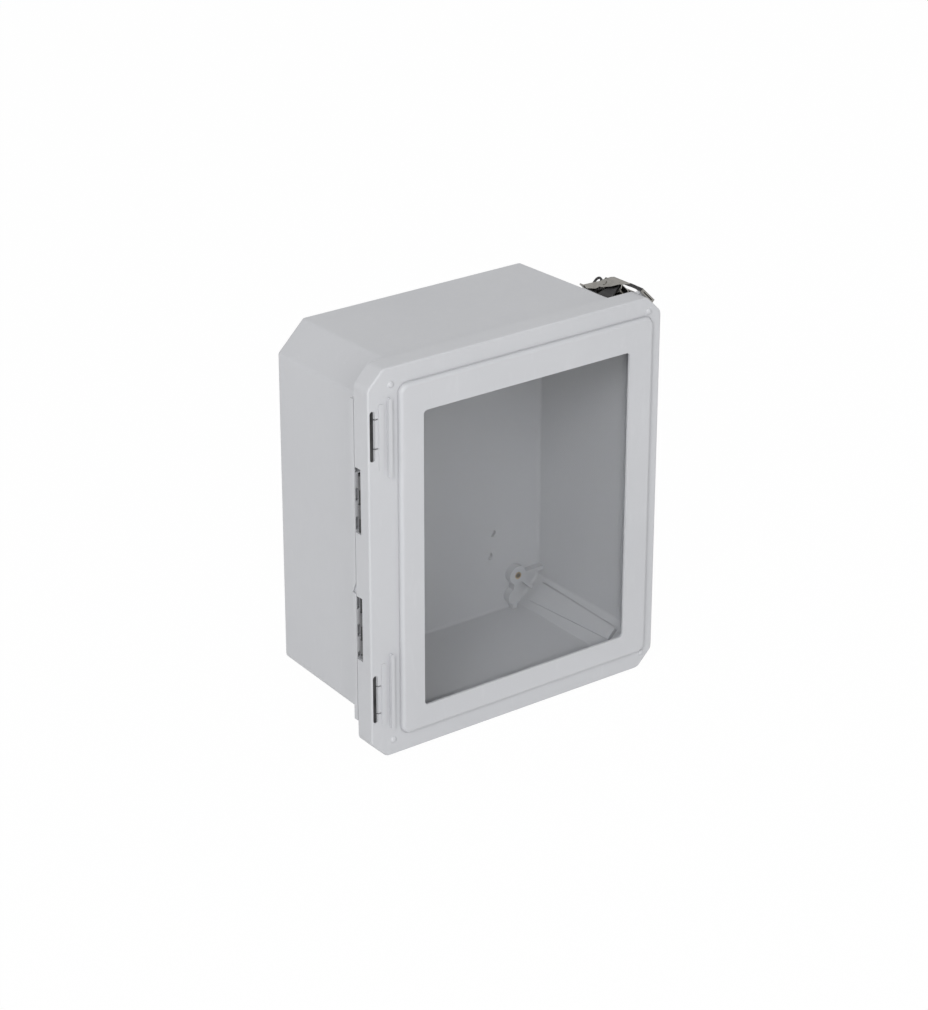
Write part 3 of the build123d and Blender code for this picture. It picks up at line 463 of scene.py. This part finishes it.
def slot_shade_fill_mesh(up):
    """Black fill with round ends, set back in the cover's slot: painted shade for the slot's deep
    gap.
    """
    mesh = bmesh.new()
    outline = []
    for end, start in ((1, 0), (-1, pi)):
        for k in range(SHADE_FILL_END_STEPS + 1):
            turn = start + pi * k / SHADE_FILL_END_STEPS
            outline.append((SLOT_HALF_WIDTH * cos(turn),
                            SLOT_HALF_RUN * end + SLOT_HALF_WIDTH * sin(turn)))
    rings = []
    for share, depth in SHADE_FILL_RINGS:
        draw_in = (1 - share) * SLOT_HALF_WIDTH
        rings.append([(SLOT_X + x * share, depth,
                       up * SLOT_Z + z - draw_in * (1 if z > 0 else -1)) for x, z in outline])
    ring_surface(mesh, rings, (SLOT_X, SLOT_FRONT, up * SLOT_Z))
    return mesh


def latch_point(up, forward, height, across):
    """A point of a corner latch in the row frame, from millimetres along the latch's own axes."""
    out = (height - LATCH_PIN_HEIGHT) * SQRT_HALF
    side_step = across * SQRT_HALF
    return ((LATCH_PIN_X + out - side_step) / MM_PER_METRE,
            -(LATCH_FRONT + forward) / MM_PER_METRE,
            up * (LATCH_PIN_Z + out + side_step) / MM_PER_METRE)


def add_plate(mesh, up, outline, low, high):
    """A flat sheet with the given outline, between two distances across the latch."""
    ends = [[mesh.verts.new(latch_point(up, forward, height, across))
             for forward, height in outline] for across in (low, high)]
    mesh.faces.new(ends[0])
    mesh.faces.new(reversed(ends[1]))
    for i in range(len(outline)):
        j = (i + 1) % len(outline)
        mesh.faces.new((ends[0][j], ends[0][i], ends[1][i], ends[1][j]))


def finish_sheet(mesh):
    """Turns the faces outward and softens the sheared edges."""
    bmesh.ops.recalc_face_normals(mesh, faces=mesh.faces)
    bmesh.ops.bevel(mesh, geom=mesh.edges[:], offset=SHEET_EDGE, segments=SHEET_EDGE_SEGMENTS,
                    affect="EDGES", profile=SHEET_EDGE_PROFILE)
    return mesh


def side_plates_mesh(up, outline, span):
    """The same plate on both sides of a latch."""
    mesh = bmesh.new()
    for side in (1, -1):
        add_plate(mesh, up, outline, side * span[0], side * span[1])
    return finish_sheet(mesh)


def lip_face_mesh(up):
    """The front of the hook's lip: two rails and two ends round a long slot."""
    mesh = bmesh.new()
    bars = ((LIP_BOTTOM, LIP_SLOT_BOTTOM, -LIP_HALF_WIDTH, LIP_HALF_WIDTH),
            (LIP_SLOT_TOP, LIP_TOP, -LIP_HALF_WIDTH, LIP_HALF_WIDTH),
            (LIP_SLOT_BOTTOM, LIP_SLOT_TOP, LIP_SLOT_HALF, LIP_HALF_WIDTH),
            (LIP_SLOT_BOTTOM, LIP_SLOT_TOP, -LIP_SLOT_HALF, -LIP_HALF_WIDTH))
    for low, high, start, end in bars:
        outline = [(LIP_BACK, low), (LIP_FRONT, low), (LIP_FRONT, high), (LIP_BACK, high)]
        add_plate(mesh, up, outline, start, end)
    return finish_sheet(mesh)


new_piece("corner_bumps", bump_mesh(), "door", fiberglass)
for side, up in SIDES.items():
    # a black fill in each slot stands in for the slot's shade
    new_piece(side + "_slot_shade_fill", slot_shade_fill_mesh(up), "door", gasket_foam)
    new_piece(side + "_hook_sides", side_plates_mesh(up, HOOK_SIDE, HOOK_SIDE_ACROSS),
              side + "_hook", stainless)
    new_piece(side + "_hook_lip_face", lip_face_mesh(up), side + "_hook", stainless)
    new_piece(side + "_lever_sides", side_plates_mesh(up, LEVER_SIDE, LEVER_SIDE_ACROSS),
              side + "_lever", stainless)


# Camera, floor and light, in metres and watts

CAMERA_PLACE = Vector((-1.3316, -1.8563, 1.0009))
CAMERA_LOOK = Vector((0.5443, 0.7304, -0.4127))
CAMERA_UP = Vector((0.2457, 0.3316, 0.9109))
LENS_MM = 116.90
SENSOR_MM = 36.0
VIEW_DEPTH = 100.0
FLOOR_GAP = 0.0003
FLOOR_SIDE = 30.0
FLOOR_WHITENESS = 0.985
AMBIENT = 0.47
LAMP_TARGET = (0, -0.07, 0)
# Each lamp's name, place, width and power
LAMPS = (
    ("front_lamp", (-0.6, -2.6, 1.0), 1.2, 14.0),
    ("left_lamp", (-2.1, -1.7, 1.5), 0.7, 40.0),
    ("right_lamp", (2.0, 0.3, 1.7), 1.2, 9.0),
)

lens = bpy.data.cameras.new("camera")
lens.sensor_fit = "HORIZONTAL"
lens.sensor_width = SENSOR_MM
lens.lens = LENS_MM
lens.clip_end = VIEW_DEPTH
camera = bpy.data.objects.new("camera", lens)
scene.collection.objects.link(camera)
back = -CAMERA_LOOK.normalized()
right = CAMERA_UP.cross(back).normalized()
turned = Matrix((right, back.cross(right), back)).transposed()
camera.matrix_world = Matrix.Translation(CAMERA_PLACE) @ turned.to_4x4()
scene.camera = camera


def seen_share(tree):
    """One where a surface is seen, mirrored or seen through the pane, and nought elsewhere."""
    path = add_node(tree, "LightPath")
    seen = calculate(tree, "MAXIMUM", path.outputs["Is Camera Ray"], path.outputs["Is Glossy Ray"])
    return calculate(tree, "MAXIMUM", seen, path.outputs["Is Transmission Ray"])


floor_material, floor_tree, floor_output = new_material("studio_floor")
floor_lit = add_node(floor_tree, "BsdfDiffuse", Color=rgba(FLOOR_WHITE))
floor_plain = add_node(floor_tree, "Emission", Color=rgba(WHITE), Strength=1.0)
floor_share = calculate(floor_tree, "MULTIPLY", seen_share(floor_tree), FLOOR_WHITENESS)
floor_mix = add_node(floor_tree, "MixShader", _0=floor_share, _1=floor_lit.outputs[0],
                     _2=floor_plain.outputs[0])
floor_tree.links.new(floor_mix.outputs[0], floor_output.inputs["Surface"])

bpy.ops.mesh.primitive_grid_add(x_subdivisions=2, y_subdivisions=2, size=FLOOR_SIDE,
                                location=(0, 0, cad_box[0][2] - FLOOR_GAP))
floor = bpy.context.object
floor.name = "floor"
floor.data.materials.append(floor_material)

world = bpy.data.worlds.new("studio")
world.use_nodes = True
scene.world = world
world_tree = world.node_tree
world_tree.nodes.clear()
world_output = world_tree.nodes.new("ShaderNodeOutputWorld")
sky_strength = remap(world_tree, seen_share(world_tree), (0.0, 1.0), (AMBIENT, 1.0))
sky = add_node(world_tree, "Background", Color=rgba(WHITE), Strength=sky_strength)
world_tree.links.new(sky.outputs[0], world_output.inputs["Surface"])

for name, place, width, power in LAMPS:
    lamp = bpy.data.lights.new(name, "AREA")
    lamp.shape = "SQUARE"
    lamp.size = width
    lamp.energy = power
    holder = bpy.data.objects.new(name, lamp)
    holder.location = place
    aim = Vector(LAMP_TARGET) - Vector(place)
    holder.rotation_euler = aim.to_track_quat("-Z", "Y").to_euler()
    scene.collection.objects.link(holder)

scene.view_settings.view_transform = "Standard"
